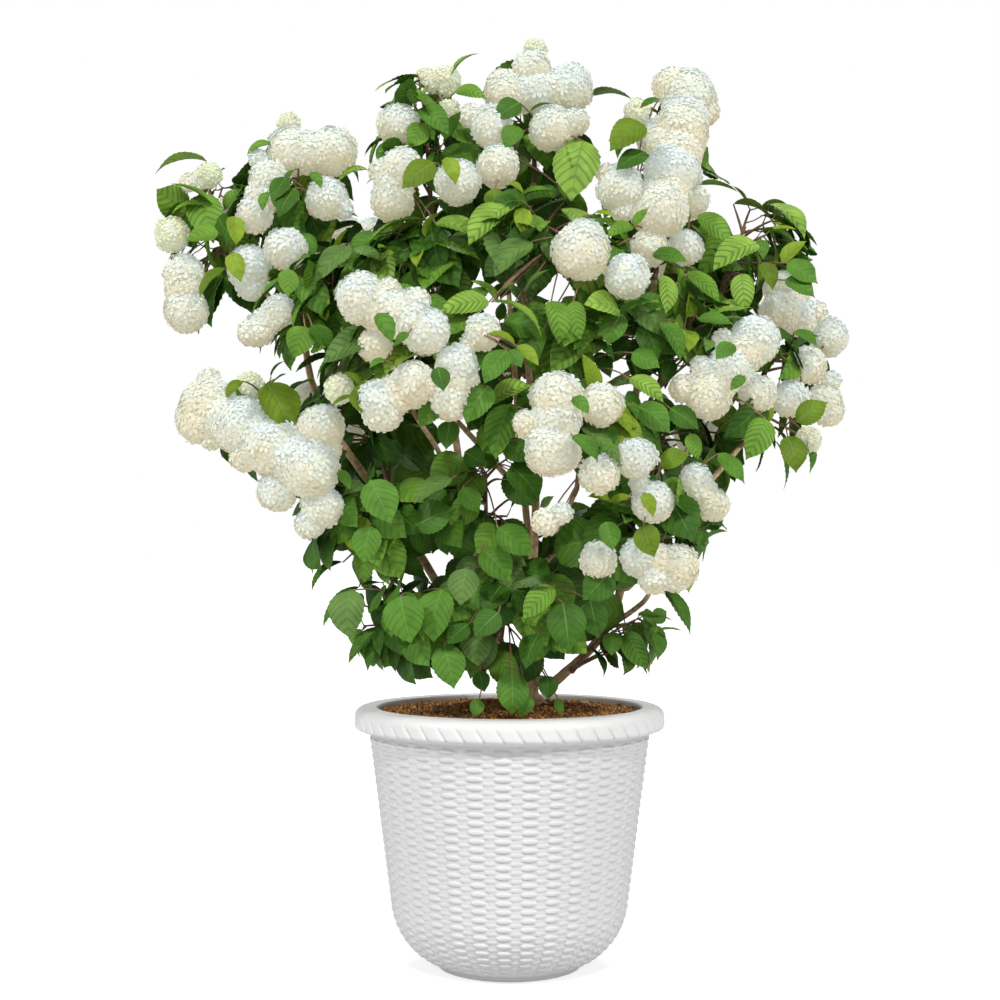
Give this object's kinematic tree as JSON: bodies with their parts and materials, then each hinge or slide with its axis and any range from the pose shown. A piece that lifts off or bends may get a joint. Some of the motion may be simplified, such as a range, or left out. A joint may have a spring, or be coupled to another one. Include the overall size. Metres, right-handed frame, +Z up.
{
  "type": "potted doublefile viburnum",
  "caption": "Leafy flowering shrub with round white snowball flower heads, growing on several stems from dark soil in a round white wicker-look planter with a rolled rope-like rim.",
  "frame": {"origin": "middle of the planter's flat underside, at floor level", "axes": "+Z up along the planter's axis, -Y towards the front, which the picture shows"},
  "size_m": [0.8857, 0.6455, 1.1924],
  "materials": {
    "planter_plastic": "satin white moulded plastic with a woven relief",
    "potting_soil": "dark, matt and granular",
    "bark": "matt tan-brown bark",
    "foliage": "soft mid-green leaves with pleated veins",
    "blossom": "soft creamy white petals"
  },
  "bodies": {
    "root": {"bough_back_flank_left": "bark", "bough_back_flank_right": "bark", "bough_back_left": "bark", "bough_back_middle": "bark", "bough_back_right": "bark", "bough_back_skirt": "bark", "bough_far_left": "bark", "bough_front_left": "bark", "bough_front_right": "bark", "bough_left_skirt": "bark", "bough_low_left": "bark", "bough_low_right": "bark", "bough_middle": "bark", "bough_right": "bark", "bough_right_shoulder": "bark", "foliage_back_flank_left": "foliage", "foliage_back_flank_right": "foliage", "foliage_back_left": "foliage", "foliage_back_middle": "foliage", "foliage_back_right": "foliage", "foliage_back_skirt": "foliage", "foliage_back_top": "foliage", "foliage_bough_left": "blossom", "foliage_bough_right": "blossom", "foliage_crown_centre_left": "foliage", "foliage_crown_left": "foliage", "foliage_crown_right": "blossom", "foliage_crown_top": "foliage", "foliage_far_left": "foliage", "foliage_front_left": "blossom", "foliage_front_right": "foliage", "foliage_inner_left": "foliage", "foliage_inner_right": "foliage", "foliage_left_foot": "foliage", "foliage_left_skirt": "foliage", "foliage_low_right": "foliage", "foliage_middle": "foliage", "foliage_middle_front": "foliage", "foliage_middle_skirt": "foliage", "foliage_right_skirt": "foliage", "foliage_shoulder_left": "foliage", "foliage_shoulder_right": "foliage", "foliage_upper_middle": "foliage", "planter": "planter_plastic", "root_crown": "bark", "soil": "potting_soil", "stem_back": "bark", "stem_centre": "bark", "stem_left": "bark", "stem_middle": "bark", "stem_right": "bark"}
  },
  "joints": []
}
